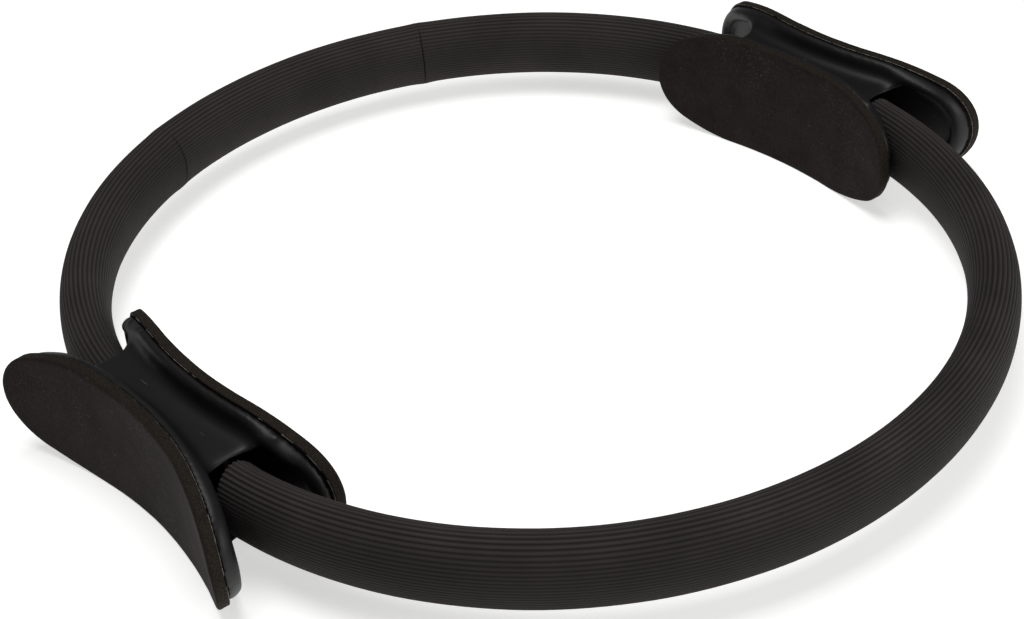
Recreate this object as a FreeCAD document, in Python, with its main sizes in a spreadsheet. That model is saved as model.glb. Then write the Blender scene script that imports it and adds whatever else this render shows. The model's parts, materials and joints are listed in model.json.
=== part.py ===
"""Pilates ring: a foam-sleeved spring hoop held between two padded saddle handles.

The ring lies flat, +Z up, with its origin on the floor below the ring's centre.
The handles sit on the X axis, and the two half hoops bow out along Y.
Each half hoop is three links that turn on upright axes, so that the ring can be
squeezed and pulled the way its spring lets it.
"""

import os
import re

import FreeCAD
import Part
import Sketcher

Vector = FreeCAD.Vector
Rotation = FreeCAD.Rotation
Placement = FreeCAD.Placement
UPRIGHT = Vector(0, 0, 1)
SIDES = ("outer", "inner")
SEAM_TURN = {"outer": Rotation(UPRIGHT, 0), "inner": Rotation(UPRIGHT, 180)}

doc = FreeCAD.newDocument("pilates_ring")
sheet = doc.addObject("Spreadsheet::Sheet", "sizes")

# Driving dimensions, in millimetres, or in degrees where the name ends in angle.
DIMENSIONS = {
    # hoop: its centre line is two arcs joined by short straights inside the handles
    "arc_radius": 160.0,
    "straight_length": 34.8,
    "sleeve_width": 18.8,
    "sleeve_height": 29.4,
    "spring_thickness": 1.5,
    "spring_width": 20.0,
    "spring_fit": 0.1,
    "bend_angle": 25.0,
    "link_gap": 0.3,
    # handle: the pad faces at mid length, measured out from the spring
    "outer_face_reach": 13.3,
    "inner_face_reach": 16.1,
    "outer_face_radius": 169.0,
    "inner_face_radius": 185.0,
    "outer_pad_length": 138.0,
    "inner_pad_length": 126.6,
    "pad_height": 49.6,
    "pad_flat_length": 52.0,
    "pad_shoulder_drop": 3.8,
    "pad_thickness": 4.2,
    "pad_overhang": 0.8,
    # saddle moulding: two wings, and a hub between them with a mouth at each end
    "wing_thickness": 3.8,
    "wing_skin": 1.8,
    "wing_rim": 5.5,
    "wing_edge_radius": 1.4,
    "hub_length": 77.0,
    "hub_height": 34.0,
    "hub_roof": 1.6,
    "hub_valley_radius": 5.0,
    "valley_shoulder": 0.4,
    "valley_overlap": 0.15,
    "web_length": 36.0,
    "mouth_pivot_reach": 32.0,
    "spring_end_gap": 1.2,
    # screws that hold the spring ends in the web, with their heads under the outer pad
    "screw_spacing": 18.0,
    "screw_diameter": 3.5,
    "screw_length": 14.0,
    "screw_head_diameter": 7.0,
    "screw_head_height": 2.4,
    "screw_fit": 0.1,
    # how far a cutting tool runs past what it cuts
    "overrun": 5.0,
}

# Sizes that follow from the driving ones.
DERIVED = {
    "mid_height": "pad_height / 2",
    "pad_end_radius": "pad_height / 2 - pad_shoulder_drop",
    "straight_half": "straight_length / 2",
    "nose_radius": "sleeve_width / 2",
    "socket_radius": "nose_radius + link_gap",
    "pivot_angle": "asin((mouth_pivot_reach - straight_half) / arc_radius) / 1 deg",
    "nose_angle": "2 * asin(nose_radius / arc_radius) / 1 deg",
    "first_bend_angle": "90 - bend_angle",
    "last_bend_angle": "90 + bend_angle",
    "last_pivot_angle": "180 - pivot_angle",
    "outer_axis_reach": "outer_face_reach + outer_face_radius",
    "inner_axis_reach": "inner_face_reach + inner_face_radius",
    "outer_moulding_radius": "outer_face_radius + pad_thickness",
    "inner_moulding_radius": "inner_face_radius + pad_thickness",
    "valley_depth_in_wing": "wing_thickness - valley_overlap",
    "valley_wall": "(pad_height - hub_height) / 2 - wing_edge_radius",
    "valley_half_width": "(outer_face_reach + inner_face_reach) / 2 - pad_thickness - wing_thickness",
    "valley_limit": "min(valley_wall; valley_half_width) - valley_shoulder",
    "valley_round": "min(hub_valley_radius; valley_limit)",
    "core_half_height": "(hub_height + valley_round + valley_wall) / 2",
    "screw_seat": "outer_face_reach - pad_thickness - screw_head_height",
}
NAMES = set(DIMENSIONS) | set(DERIVED)


def fill_sheet():
    """Write each value and formula to its own cell, under its name as the alias."""
    cells = {name: str(value) for name, value in DIMENSIONS.items()}
    cells.update({name: "=" + formula for name, formula in DERIVED.items()})
    for row, (name, content) in enumerate(cells.items(), start=1):
        sheet.set("A%d" % row, name)
        sheet.set("B%d" % row, content)
        sheet.setAlias("B%d" % row, name)
    doc.recompute()


def tied(formula):
    """A formula in the sheet's names, as an expression that any object can hold."""
    return re.sub(r"[a-z_]+", lambda word: "sizes." + word[0] if word[0] in NAMES else word[0], formula)


def make(kind, name, ties=None, **settings):
    """Add an object, set its plain properties and tie the others to the sheet."""
    thing = doc.addObject(kind, name)
    for prop, value in settings.items():
        setattr(thing, prop, value)
    for prop, formula in (ties or {}).items():
        thing.setExpression(prop, tied(formula))
    return thing


def cut(name, base, *tools):
    """The base with each tool taken out in turn. The last cut carries the name."""
    for tool in tools:
        step = name if tool is tools[-1] else name + "_step"
        base = make("Part::Cut", step, Base=base, Tool=tool)
    return base


def block(name, low, high):
    """A box between two corners, each given as three formulas."""
    sides = zip(("Length", "Width", "Height"), "xyz", low, high)
    ties = {}
    for side, axis, start, stop in sides:
        ties[side] = "(%s) - (%s)" % (stop, start)
        ties["Placement.Base." + axis] = start
    return make("Part::Box", name, ties)


def upright_cylinder(name, radius, reach, height):
    """An upright cylinder on the X axis, centred on mid height."""
    ties = {
        "Radius": radius,
        "Height": height,
        "Placement.Base.x": reach,
        "Placement.Base.z": "-(%s) / 2" % height,
    }
    return make("Part::Cylinder", name, ties)


def lying_cylinder(name, radius, start, stop, across):
    """A cylinder along X from start to stop, at a distance along Y."""
    ties = {
        "Radius": radius,
        "Height": "(%s) - (%s)" % (stop, start),
        "Placement.Base.x": start,
        "Placement.Base.y": across,
    }
    return make("Part::Cylinder", name, ties, Placement=Placement(Vector(), Rotation(Vector(0, 1, 0), 90)))


def turned(thing, angle):
    """Turn a thing about the upright axis through the origin."""
    thing.Placement = Placement(Vector(), Rotation(UPRIGHT, 1))
    thing.setExpression("Placement.Rotation.Angle", tied(angle))
    return thing


def outline(name, length, height, flat, end_radius):
    """A pad's outline in the YZ plane: flat top and bottom, wide shoulders, round ends."""
    sketch = make("Sketcher::SketchObject", name)
    sketch.Placement = Placement(Vector(), Rotation(Vector(1, 1, 1), 120))
    value = {key: measure(formula) for key, formula in
             dict(tip=length, top=height, flat=flat, end=end_radius).items()}
    tip, top, flat_half = value["tip"] / 2, value["top"] / 2, value["flat"] / 2
    end = value["end"]
    end_centre = Vector(tip - end, 0)
    run = end_centre.x - flat_half
    shoulder = (run ** 2 + top ** 2 - end ** 2) / (2 * (top - end))
    shoulder_centre = Vector(flat_half, top - shoulder)
    meet_angle = Vector(1, 0).getAngle(end_centre - shoulder_centre)

    def arc(centre, radius, start, stop):
        return Part.ArcOfCircle(Part.Circle(centre, UPRIGHT, radius), start, stop)

    quarter = Vector(1, 0).getAngle(Vector(0, 1))
    mirrored_end = Vector(-end_centre.x, 0)
    sketch.addGeometry([
        Part.LineSegment(Vector(-flat_half, top), Vector(flat_half, top)),
        arc(shoulder_centre, shoulder, meet_angle, quarter),
        arc(end_centre, end, -meet_angle, meet_angle),
        arc(Vector(flat_half, -shoulder_centre.y), shoulder, -quarter, -meet_angle),
        Part.LineSegment(Vector(-flat_half, -top), Vector(flat_half, -top)),
        arc(Vector(-flat_half, -shoulder_centre.y), shoulder, 2 * quarter + meet_angle, 3 * quarter),
        arc(mirrored_end, end, 2 * quarter - meet_angle, 2 * quarter + meet_angle),
        arc(Vector(-flat_half, shoulder_centre.y), shoulder, quarter, 2 * quarter - meet_angle),
    ])
    top_line, bottom_line, right_end, left_end = 0, 4, 2, 6
    joins = [(0, 2, 1, 2), (1, 1, 2, 2), (2, 1, 3, 2), (3, 1, 4, 2),
             (4, 1, 5, 2), (5, 1, 6, 2), (6, 1, 7, 2), (7, 1, 0, 1)]
    for join in joins:
        sketch.addConstraint(Sketcher.Constraint("Tangent", *join))
    for line in (top_line, bottom_line):
        sketch.addConstraint(Sketcher.Constraint("Symmetric", line, 1, line, 2, -2))
    for end_arc in (right_end, left_end):
        sketch.addConstraint(Sketcher.Constraint("PointOnObject", end_arc, 3, -1))
    driving = {
        "flat_top": (Sketcher.Constraint("DistanceX", top_line, 1, top_line, 2, 2 * flat_half), flat),
        "flat_bottom": (Sketcher.Constraint("DistanceX", bottom_line, 1, bottom_line, 2, 2 * flat_half),
                        flat),
        "rise": (Sketcher.Constraint("DistanceY", -1, 1, top_line, 2, top), "(%s) / 2" % height),
        "drop": (Sketcher.Constraint("DistanceY", bottom_line, 2, -1, 1, top), "(%s) / 2" % height),
        "right_round": (Sketcher.Constraint("Radius", right_end, end), end_radius),
        "left_round": (Sketcher.Constraint("Radius", left_end, end), end_radius),
        "right_reach": (Sketcher.Constraint("DistanceX", -1, 1, right_end, 3, end_centre.x),
                        "(%s) / 2 - (%s)" % (length, end_radius)),
        "left_reach": (Sketcher.Constraint("DistanceX", left_end, 3, -1, 1, end_centre.x),
                       "(%s) / 2 - (%s)" % (length, end_radius)),
    }
    for key, (constraint, formula) in driving.items():
        index = sketch.addConstraint(constraint)
        sketch.renameConstraint(index, key)
        sketch.setExpression("Constraints." + key, tied(formula))
    return sketch


def measure(formula):
    """The number that a formula in the sheet's names stands for now."""
    answer = sheet.evalExpression(formula)
    return getattr(answer, "Value", answer)


def axis_of(side):
    """Where the upright axis of a handle's outer or inner face stands along X, as a formula."""
    return "outer_axis_reach" if side == "outer" else "-inner_axis_reach"


def face_cylinder(name, side, radius):
    """An upright cylinder round a face's axis, with its seam turned away from the handle."""
    ties = {
        "Radius": radius,
        "Height": "pad_height + 2 * overrun",
        "Placement.Base.x": axis_of(side),
        "Placement.Base.z": "-pad_height / 2 - overrun",
    }
    return make("Part::Cylinder", name, ties, Placement=Placement(Vector(), SEAM_TURN[side]))


def curved_plate(name, plan, side, near, far):
    """The slice of an outline's prism between two radii round a face's upright axis.

    The faces on both sides of a handle are hollow, so their axes stand off along X.
    """
    outward = Vector(1, 0, 0) if side == "outer" else Vector(-1, 0, 0)
    prism = make("Part::Extrusion", name + "_prism", {"LengthFwd": side + "_axis_reach"}, Base=plan,
                 DirMode="Custom", Dir=outward, Solid=True)
    inside = face_cylinder(name + "_near", side, near)
    outside = face_cylinder(name + "_far", side, far)
    shell = cut(name + "_shell", outside, inside)
    return make("Part::Common", name, Base=shell, Tool=prism)


def edges_where(shape, test):
    """The numbers of a shape's edges whose sample points all pass a test, as fillets count them."""
    shares = (0.0, 0.25, 0.5, 0.75, 1.0)
    found = []
    for number, edge in enumerate(shape.Edges, start=1):
        first, last = edge.ParameterRange
        points = [edge.valueAt(first + share * (last - first)) for share in shares]
        if all(test(point) for point in points):
            found.append(number)
    return found


def rounded(name, base, radius, test):
    """The base with a fillet along every edge that passes a test."""
    doc.recompute()
    numbers = edges_where(base.Shape, test)
    size = measure(radius)
    return make("Part::Fillet", name, Base=base, Edges=[(number, size, size) for number in numbers])


def near_to(value, target):
    return abs(value - target) < Part.Precision.approximation() * 10


def wing(side, plan):
    """One wing of a saddle, with its back edge rounded."""
    moulding = side + "_moulding_radius"
    plate = curved_plate("wing", plan, side, moulding, moulding + " + wing_thickness")
    axis = measure(axis_of(side))
    back = measure(moulding + " + wing_thickness")

    def on_back(point):
        return near_to(Vector(point.x - axis, point.y, 0).Length, back)

    return rounded("wing_rounded", plate, "wing_edge_radius", on_back)


def between_faces(name, body, skin):
    """A body cut back to stand between the two hollow faces of a handle, a skin away from each."""
    faces = [face_cylinder(name + "_face", side, side + "_moulding_radius + " + skin) for side in SIDES]
    return cut(name, body, *faces)


def full_depth_block(name, half_length, half_height):
    """A block through the whole depth of a handle, centred on its middle."""
    low = ("-inner_axis_reach", "-(%s)" % half_length, "-(%s)" % half_height)
    high = ("outer_axis_reach", half_length, half_height)
    return block(name, low, high)


def hub():
    """The hub between the wings: a low roof and floor that sweep up into both wings."""
    whole = full_depth_block("hub_block", "hub_length / 2", "core_half_height")
    core = between_faces("hub_core", whole, "wing_skin")
    troughs = {"roof": ("hub_height / 2", "pad_height"), "floor": ("-pad_height", "-hub_height / 2")}
    for name, (low, high) in troughs.items():
        trough = block(name + "_block", ("-inner_axis_reach", "-hub_length / 2 - overrun", low),
                       ("outer_axis_reach", "hub_length / 2 + overrun", high))
        core = cut("hub_core_" + name, core, between_faces(name + "_trough", trough, "valley_depth_in_wing"))
    roof = measure("hub_height / 2")
    backs = {measure(axis_of(side)): measure(side + "_moulding_radius + valley_depth_in_wing")
             for side in SIDES}

    def in_valley(point):
        away = {axis: Vector(point.x - axis, point.y, 0).Length for axis in backs}
        beside_wing = any(near_to(away[axis], back) for axis, back in backs.items())
        return beside_wing and near_to(abs(point.z), roof)

    return rounded("hub", core, "valley_round", in_valley)


def screw_solid(name, across, fit):
    """A pan-head screw along X, or the hole for one where fit is more than nothing."""
    tip = "screw_seat - screw_length"
    shank = lying_cylinder(name + "_shank", "screw_diameter / 2 + " + fit, tip, "screw_seat", across)
    head = lying_cylinder(name + "_head", "screw_head_diameter / 2 + " + fit, "screw_seat",
                          "screw_seat + screw_head_height", across)
    return make("Part::MultiFuse", name, Shapes=[shank, head])


SCREW_SPOTS = ("screw_spacing / 2", "-screw_spacing / 2")
NO_FIT = "0"


def saddle(name):
    """The handle moulding: hollow wings, a hub with a mouth at each end, and a web that grips the spring."""
    moulding_end_radius = "pad_end_radius - pad_overhang"
    pocket_end_radius = moulding_end_radius + " - wing_rim"
    solids = []
    tools = []
    hub_reserve = full_depth_block("hub_reserve", "hub_length / 2", "hub_height")
    for side in SIDES:
        length = side + "_pad_length - 2 * pad_overhang"
        plan = outline(side + "_wing_plan", length, "pad_height", "pad_flat_length", moulding_end_radius)
        solids.append(wing(side, plan))
        pocket_plan = outline(side + "_pocket_plan", length + " - 2 * wing_rim", "pad_height - 2 * wing_rim",
                              "pad_flat_length", pocket_end_radius)
        moulding = side + "_moulding_radius"
        pocket = curved_plate("pocket", pocket_plan, side, moulding + " + wing_skin",
                              moulding + " + wing_thickness + overrun")
        tools.append(cut("pocket_ends", pocket, hub_reserve))
    joined = make("Part::MultiFuse", "saddle_joined", Shapes=solids + [hub()], Refine=True)

    tunnel = full_depth_block("tunnel_block", "hub_length / 2 + overrun", "hub_height / 2 - hub_roof")
    web = full_depth_block("web", "web_length / 2", "hub_height")
    tools.append(between_faces("tunnel", cut("tunnel_ends", tunnel, web), "wing_skin"))
    slot_half = "spring_thickness / 2 + spring_fit"
    slot_rise = "spring_width / 2 + spring_fit"
    tools.append(block("slot", ("-(%s)" % slot_half, "-web_length / 2 - overrun", "-(%s)" % slot_rise),
                       (slot_half, "web_length / 2 + overrun", slot_rise)))
    for spot in SCREW_SPOTS:
        hole = screw_solid("screw_hole", spot, "screw_fit")
        mouth = lying_cylinder("screw_mouth", "screw_head_diameter / 2 + screw_fit", "screw_seat",
                               "screw_seat + screw_head_height + overrun", spot)
        tools += [hole, mouth]
    return cut(name, joined, *tools)


def pad(name, side):
    """A sheet of foam on one face of a handle, a little longer than the wing that carries it."""
    plan = outline(name + "_plan", side + "_pad_length", "pad_height", "pad_flat_length", "pad_end_radius")
    face = side + "_face_radius"
    return curved_plate(name, plan, side, face, face + " + pad_thickness")


def screws(name):
    return make("Part::Compound", name, Links=[screw_solid("screw", spot, NO_FIT) for spot in SCREW_SPOTS])


def spring_section(name, fit):
    """The spring's flat section in the XZ plane, out at the arc's radius."""
    ties = {
        "Length": "spring_thickness + 2 * " + fit,
        "Width": "spring_width + 2 * " + fit,
        "Placement.Base.x": "arc_radius - spring_thickness / 2 - " + fit,
        "Placement.Base.z": "-spring_width / 2 - " + fit,
    }
    return make("Part::Plane", name, ties, Placement=Placement(Vector(), Rotation(Vector(1, 0, 0), 90)))


def sleeve_section(name):
    """The sleeve's oval section in the XZ plane, out at the arc's radius."""
    ties = {
        "MajorRadius": "sleeve_height / 2",
        "MinorRadius": "sleeve_width / 2",
        "Placement.Base.x": "arc_radius",
    }
    return make("Part::Ellipse", name, ties, Placement=Placement(Vector(), Rotation(Vector(1, 1, 1), -120)))


def arc_of(name, section, start, stop):
    """A section swept round the arc's axis from one angle to another."""
    sweep = make("Part::Revolution", name, {"Angle": "(%s) - (%s)" % (stop, start)}, Source=section,
                 Axis=UPRIGHT, Solid=True)
    return turned(sweep, start)


def spring_ends(name):
    """The two ends of the spring that a handle grips: straight in the web, then curving to the mouths."""
    straight = block("spring_straight", ("-spring_thickness / 2", "spring_end_gap / 2", "-spring_width / 2"),
                     ("spring_thickness / 2", "straight_half", "spring_width / 2"))
    bend = arc_of("spring_bend", spring_section("spring_bend_section", NO_FIT), "0", "pivot_angle")
    placed = {"Placement.Base.x": "-arc_radius", "Placement.Base.y": "straight_half"}
    bend = make("Part::Compound", "spring_bend_placed", placed, Links=[bend])
    whole = make("Part::MultiFuse", "spring_end_whole", Shapes=[straight, bend], Refine=True)
    hollow = make("Part::Compound", "end_socket_placed", placed, Links=[socket("end_socket", "pivot_angle")])
    hole = screw_solid("spring_hole", SCREW_SPOTS[0], "screw_fit")
    end = cut("spring_end", whole, hollow, hole)
    mirrored = make("Part::Mirroring", "spring_end_mirrored", Source=end, Normal=Vector(0, 1, 0))
    return make("Part::Compound", name, Links=[end, mirrored])


def handle(side):
    """All the pieces of one handle, placed on its end of the X axis."""
    pieces = [
        saddle(side + "_saddle"),
        pad(side + "_outer_pad", "outer"),
        pad(side + "_inner_pad", "inner"),
        screws(side + "_spring_screws"),
        spring_ends(side + "_spring_ends"),
    ]
    turn, reach = (0, "arc_radius") if side == "right" else (180, "-arc_radius")
    for piece in pieces:
        piece.Placement = Placement(Vector(), Rotation(UPRIGHT, turn))
        piece.setExpression("Placement.Base.x", tied(reach))
        piece.setExpression("Placement.Base.z", tied("mid_height"))
    return pieces


def nose_trim(name, ahead, angle):
    """What lies past a link's end: beyond the pivot, and outside the round nose about it."""
    past = ("0", "2 * sleeve_width") if ahead else ("-2 * sleeve_width", "0")
    beyond = block(name + "_beyond", ("arc_radius - sleeve_width", past[0], "-pad_height / 2"),
                   ("arc_radius + sleeve_width", past[1], "pad_height / 2"))
    nose = upright_cylinder(name + "_nose", "nose_radius", "arc_radius", "pad_height + 2 * overrun")
    return turned(cut(name, beyond, nose), angle)


def socket(name, angle):
    """The round hollow that a neighbour's nose turns in, on the arc's pivot at an angle."""
    ties = {
        "Radius": "socket_radius",
        "Height": "pad_height",
        "Placement.Base.x": "arc_radius * cos(%s * 1 deg)" % angle,
        "Placement.Base.y": "arc_radius * sin(%s * 1 deg)" % angle,
        "Placement.Base.z": "-pad_height / 2",
    }
    return make("Part::Cylinder", name, ties)


def link_trims():
    """Each link's angles, and the tools that shape its ends, in the order they are met round the arc."""
    return {
        "first": ("pivot_angle - nose_angle", "first_bend_angle + nose_angle",
                  nose_trim("first_mouth_trim", False, "pivot_angle"),
                  nose_trim("first_bend_trim", True, "first_bend_angle")),
        "middle": ("first_bend_angle", "last_bend_angle",
                   socket("first_bend_socket", "first_bend_angle"),
                   socket("last_bend_socket", "last_bend_angle")),
        "last": ("last_bend_angle - nose_angle", "last_pivot_angle + nose_angle",
                 nose_trim("last_bend_trim", False, "last_bend_angle"),
                 nose_trim("last_mouth_trim", True, "last_pivot_angle")),
    }


def half_hoop(half):
    """A half hoop's links, each a length of spring in a foam sleeve, placed on its side of the ring."""
    names = ("right", "middle", "left") if half == "back" else ("left", "middle", "right")
    turn, reach = (0, "straight_half") if half == "back" else (180, "-straight_half")
    pieces = []
    for name, (start, stop, *trims) in zip(names, link_trims().values()):
        spring = arc_of("spring_arc", spring_section("spring_face", NO_FIT), start, stop)
        pieces.append(cut("%s_%s_spring" % (half, name), spring, *trims))
        foam = arc_of("sleeve_arc", sleeve_section("sleeve_oval"), start, stop)
        bore = arc_of("sleeve_bore", spring_section("bore_face", "spring_fit"), start, stop)
        pieces.append(cut("%s_%s_sleeve" % (half, name), foam, bore, *trims))
    for piece in pieces:
        piece.Placement = Placement(Vector(), Rotation(UPRIGHT, turn))
        piece.setExpression("Placement.Base.y", tied(reach))
        piece.setExpression("Placement.Base.z", tied("mid_height"))
    return pieces


def check(pieces):
    """Stop if any object failed, or if a piece came out empty or broken."""
    failed = [thing.Name for thing in doc.Objects if {"Invalid", "Error"} & set(thing.State)]
    failed += [piece.Label for piece in pieces if piece.Shape.isNull() or not piece.Shape.isValid()]
    failed += [piece.Label for piece in pieces if not piece.Shape.Solids]
    if failed:
        raise RuntimeError("these did not build: " + ", ".join(failed))


def write(pieces):
    os.makedirs("parts", exist_ok=True)
    for piece in pieces:
        piece.Shape.exportStep("parts/%s.step" % piece.Label)
        print("%-22s %2d solids %9.1f mm3" % (piece.Label, len(piece.Shape.Solids), piece.Shape.Volume))


fill_sheet()
all_pieces = handle("left") + handle("right") + half_hoop("front") + half_hoop("back")
doc.recompute()
check(all_pieces)
write(all_pieces)
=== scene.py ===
# %% [markdown]
# # A pilates ring
# The ring is a spring hoop in a ribbed foam sleeve, held between two padded saddle
# handles. Its solids are loaded as a frame that stays fixed. This lesson gives each
# surface its finish, and replaces the soft solids by meshes with ribs, cut edges and
# glue lines, which ride on the same bodies.

# %% Load the solids
import json
import math
from collections import namedtuple

import bmesh
import bpy
import numpy as np
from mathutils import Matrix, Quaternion, Vector, noise


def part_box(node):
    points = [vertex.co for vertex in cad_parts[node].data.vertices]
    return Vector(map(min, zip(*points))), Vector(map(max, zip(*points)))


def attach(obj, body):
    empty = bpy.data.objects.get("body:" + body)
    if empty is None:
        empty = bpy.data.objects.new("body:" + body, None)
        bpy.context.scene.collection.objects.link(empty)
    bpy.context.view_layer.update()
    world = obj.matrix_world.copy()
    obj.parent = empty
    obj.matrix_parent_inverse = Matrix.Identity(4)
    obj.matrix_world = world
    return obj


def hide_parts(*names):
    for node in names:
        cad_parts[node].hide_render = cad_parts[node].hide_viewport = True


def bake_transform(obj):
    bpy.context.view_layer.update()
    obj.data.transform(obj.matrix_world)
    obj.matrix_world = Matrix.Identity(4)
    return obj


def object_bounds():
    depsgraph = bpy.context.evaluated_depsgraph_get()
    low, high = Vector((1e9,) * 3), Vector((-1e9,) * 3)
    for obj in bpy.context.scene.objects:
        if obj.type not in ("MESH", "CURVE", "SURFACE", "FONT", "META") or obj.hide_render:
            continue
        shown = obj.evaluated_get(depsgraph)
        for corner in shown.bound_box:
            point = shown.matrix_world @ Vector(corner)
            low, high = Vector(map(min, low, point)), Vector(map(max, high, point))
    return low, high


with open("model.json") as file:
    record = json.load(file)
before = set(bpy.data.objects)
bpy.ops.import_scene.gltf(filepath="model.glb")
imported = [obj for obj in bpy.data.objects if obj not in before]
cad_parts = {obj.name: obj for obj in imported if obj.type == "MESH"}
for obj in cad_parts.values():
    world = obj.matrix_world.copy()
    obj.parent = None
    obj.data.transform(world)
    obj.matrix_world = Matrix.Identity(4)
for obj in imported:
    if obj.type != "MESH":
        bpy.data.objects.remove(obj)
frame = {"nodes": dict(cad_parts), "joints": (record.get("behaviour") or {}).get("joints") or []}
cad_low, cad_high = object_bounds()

MM = 0.001
scene = bpy.context.scene
nodes = frame["nodes"]
pivots = {joint["name"]: Vector(joint["pos_m"]) for joint in frame["joints"]}

# %% [markdown]
# ## The camera
# The photograph looks down on the ring from its front left, a little rolled. A camera
# could be turned by hand until it fits. Here it is given as a photographer would say
# it: how far away, from which side, how high, what it is aimed at, and the lens.

# %% The camera
EYE_AZIMUTH = math.radians(-38.53)
EYE_ELEVATION = math.radians(34.04)
EYE_DISTANCE = 672.8 * MM
EYE_ROLL = math.radians(-5.07)
LENS_MM = 61.48
AIM_OFFSET = Vector((-28.8, -24.6, 0.0)) * MM
CLIP = (0.01, 50.0)

hoop_middle = Vector((0.0, 0.0, (cad_low.z + cad_high.z) / 2))
toward_eye = Vector((
    math.sin(EYE_AZIMUTH) * math.cos(EYE_ELEVATION),
    -math.cos(EYE_AZIMUTH) * math.cos(EYE_ELEVATION),
    math.sin(EYE_ELEVATION),
))
camera = bpy.data.objects.new("camera", bpy.data.cameras.new("camera"))
scene.collection.objects.link(camera)
camera.location = hoop_middle + toward_eye * EYE_DISTANCE
camera.rotation_mode = "QUATERNION"
level_look = (hoop_middle + AIM_OFFSET - camera.location).to_track_quat("-Z", "Y")
camera.rotation_quaternion = level_look @ Quaternion((0, 0, 1), EYE_ROLL)
camera.data.lens = LENS_MM
camera.data.clip_start, camera.data.clip_end = CLIP
scene.camera = camera
print("camera at", tuple(round(v / MM) for v in camera.location), "mm")

# %% [markdown]
# ## Small helpers for node trees
# Every material and every Geometry Nodes tree is built from nodes. One function adds a
# node, sets its options, and fills its inputs with a value or a link. Another turns an
# sRGB hex colour into the linear values that Blender's sockets take, and a third turns
# a real width in millimetres into a texture's scale.

# %% Node, colour and scale helpers
MATH = "ShaderNodeMath"
VECTOR_MATH = "ShaderNodeVectorMath"


def add(tree, kind, inputs=(), **settings):
    """Add a node. Inputs go by name, or in order; a node or socket given as a value is linked."""
    made = tree.nodes.new(kind)
    for name, value in settings.items():
        setattr(made, name, value)
    pairs = inputs.items() if isinstance(inputs, dict) else enumerate(inputs)
    for name, value in pairs:
        if isinstance(value, bpy.types.Node):
            value = next(socket for socket in value.outputs if socket.enabled)
        if isinstance(value, bpy.types.NodeSocket):
            tree.links.new(value, made.inputs[name])
        else:
            made.inputs[name].default_value = value
    return made


def colour(code):
    """A hex colour such as "#2b2928" as linear RGBA."""
    shares = [int(code[i:i + 2], 16) / 255 for i in (1, 3, 5)]
    return (*[s / 12.92 if s <= 0.04045 else ((s + 0.055) / 1.055) ** 2.4 for s in shares], 1.0)


def per_mm(size_mm):
    """The scale that makes a texture's features this many millimetres wide."""
    return 1 / (size_mm * MM)


# %% [markdown]
# ## Stage and light
# The ring is shown as in a shop photograph: on a white table that glows a little, so
# that it burns out to white and the shadows are faint. The room behind it looks pale but
# gives only a little light. Most comes from two large lamps, one overhead and one to the
# front right, which draw the ribs and the plastic's broad highlights.

# %% The room and its lamps
SKY_STRENGTH = 0.14
BACKDROP_STRENGTH = 0.9
LAMPS = {
    # name: (place in metres, size in metres, watts)
    "overhead_softbox": ((-0.12, 0.02, 1.0), 0.6, 5.5),
    "front_softbox": ((0.45, -1.1, 0.5), 0.5, 4.2),
}

world = bpy.data.worlds.new("studio")
world.use_nodes = True
sky = world.node_tree.nodes["Background"]
sky.inputs["Color"].default_value = colour("#ffffff")
seen = world.node_tree.nodes.new("ShaderNodeLightPath").outputs["Is Camera Ray"]
brightness = add(world.node_tree, "ShaderNodeMapRange", {
    "Value": seen, "To Min": SKY_STRENGTH, "To Max": BACKDROP_STRENGTH})
world.node_tree.links.new(brightness.outputs[0], sky.inputs["Strength"])
scene.world = world
scene.view_settings.view_transform = "Standard"
for name, (place, size, watts) in LAMPS.items():
    lamp = bpy.data.objects.new(name, bpy.data.lights.new(name, "AREA"))
    lamp.data.size, lamp.data.energy = size, watts
    lamp.location = place
    lamp.rotation_mode = "QUATERNION"
    lamp.rotation_quaternion = (hoop_middle - lamp.location).to_track_quat("-Z", "Y")
    scene.collection.objects.link(lamp)
print("lit by", ", ".join(LAMPS))

# %% The floor
FLOOR_HALF = 4.0
FLOOR_WHITE = colour("#f7f7f6")
FLOOR_GLOW = 0.62
FLOOR_PAINT = {
    "Base Color": FLOOR_WHITE, "Emission Color": FLOOR_WHITE, "Emission Strength": FLOOR_GLOW,
    "Roughness": 0.9, "Specular IOR Level": 0.1,
}

floor_paint = bpy.data.materials.new("floor_paint")
floor_paint.use_nodes = True
for socket, value in FLOOR_PAINT.items():
    floor_paint.node_tree.nodes["Principled BSDF"].inputs[socket].default_value = value
floor_mesh = bpy.data.meshes.new("floor")
corners = [(x * FLOOR_HALF, y * FLOOR_HALF, 0) for x, y in ((-1, -1), (1, -1), (1, 1), (-1, 1))]
floor_mesh.from_pydata(corners, [], [(0, 1, 2, 3)])
floor_mesh.materials.append(floor_paint)
floor = bpy.data.objects.new("floor", floor_mesh)
scene.collection.objects.link(floor)
print("a floor of", 2 * FLOOR_HALF, "m")

# %% [markdown]
# ## A start for every material
# Each finish below is a Principled shader with patterns in real millimetres. This
# starts one, with its constant values set on the shader's own sockets.

# %% Start a material


def finish_of(name, **constants):
    """A new material: its tree, its shader, and the object coordinates its patterns use."""
    material = bpy.data.materials.new(name)
    material.use_nodes = True
    tree = material.node_tree
    shader = tree.nodes["Principled BSDF"]
    for socket, value in constants.items():
        shader.inputs[socket.replace("_", " ")].default_value = value
    place = tree.nodes.new("ShaderNodeTexCoord").outputs["Object"]
    return material, tree, shader, place


# %% [markdown]
# ## Foam sleeve: the finish
# The sleeve is extruded nitrile foam: black, matt, with a skin of fine closed cells. The
# die leaves lengthwise ribs. Shade is painted into their grooves and onto the sleeve's
# sides, patches rub a little paler, and the odd speck of dust sits on the ribs. The mesh
# carries the painted shade as an attribute.

# %% Extruded foam


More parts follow.
